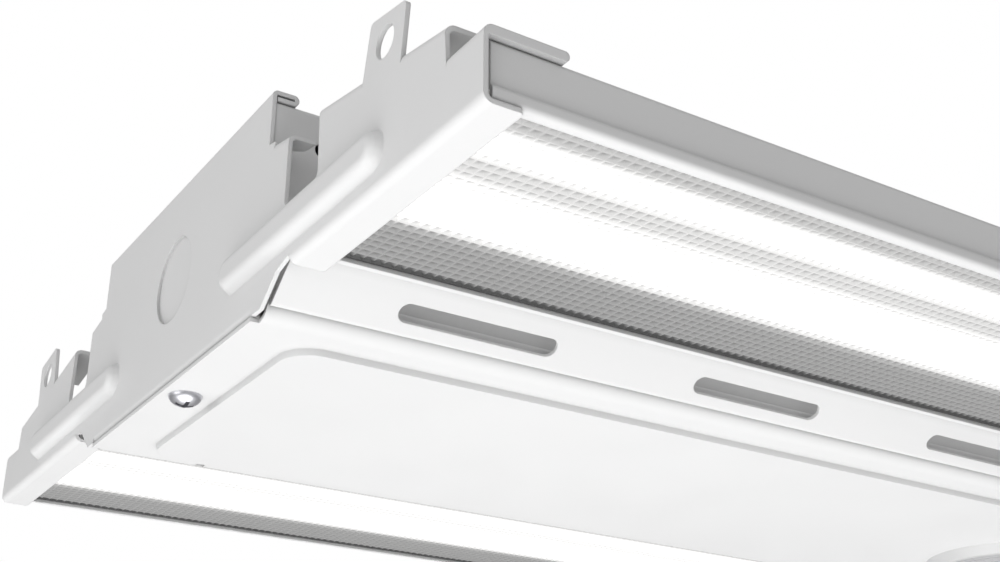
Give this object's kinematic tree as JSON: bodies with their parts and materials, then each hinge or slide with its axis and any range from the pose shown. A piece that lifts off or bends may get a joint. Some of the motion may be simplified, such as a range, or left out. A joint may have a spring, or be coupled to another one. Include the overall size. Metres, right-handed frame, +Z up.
{
  "type": "high bay light",
  "caption": "Linear LED high bay light: folded white sheet wings with prismatic lenses, slotted vents, driver housing with cover and sensor.",
  "frame": {"origin": "middle of the underside, at the lowest point of the sensor dome", "axes": "+X along the light, +Y across it, +Z up towards the ceiling"},
  "size_m": [0.6014, 0.284, 0.0629],
  "materials": {
    "white_sheet": "satin white powder coat",
    "lens_acrylic": "clear prismatic acrylic",
    "board_white": "white solder mask",
    "chip": "phosphor",
    "zinc": "bright zinc",
    "connector_white": "moulded nylon",
    "driver_metal": "white enamel",
    "board_green": "green solder mask",
    "black_plastic": "moulded nylon",
    "ferrite": "ferrite",
    "coil": "taped winding",
    "can": "drawn aluminium",
    "wire_black": "insulated",
    "wire_white": "insulated",
    "wire_green": "insulated",
    "green_zinc": "green passivated",
    "sensor_white": "moulded white",
    "sensor_dome": "milky dome"
  },
  "bodies": {
    "root": {"end_plate_left": "white_sheet", "end_plate_right": "white_sheet", "wing_pan_front": "white_sheet", "wing_pan_rear": "white_sheet", "vent_panel_front": "white_sheet", "vent_panel_rear": "white_sheet", "driver_housing": "white_sheet", "driver_cover": "white_sheet", "cover_screws": "zinc", "lens_front": "lens_acrylic", "lens_rear": "lens_acrylic", "led_board_front_inner": "board_white", "led_board_front_outer": "board_white", "led_board_rear_inner": "board_white", "led_board_rear_outer": "board_white", "led_chips_front": "chip", "led_chips_rear": "chip", "board_screws": "zinc", "board_connectors": "connector_white", "board_jumpers": "wire_white", "driver_case": "driver_metal", "driver_base": "driver_metal", "driver_screws": "zinc", "driver_board": "board_green", "driver_posts": "connector_white", "driver_terminals": "connector_white", "driver_capacitors": "can", "driver_core": "ferrite", "driver_coil": "coil", "terminal_block": "connector_white", "terminal_block_screws": "zinc", "mains_wires": "wire_black", "sensor_wire": "wire_white", "ground_wire": "wire_green", "ground_screw": "green_zinc", "led_cable_front": "wire_white", "led_cable_rear": "wire_white", "wire_bushings": "black_plastic", "sensor_bezel": "sensor_white", "sensor_lens": "sensor_dome", "sensor_body": "sensor_white", "sensor_nut": "sensor_white", "sensor_board": "board_green", "sensor_detector": "can"}
  },
  "joints": []
}
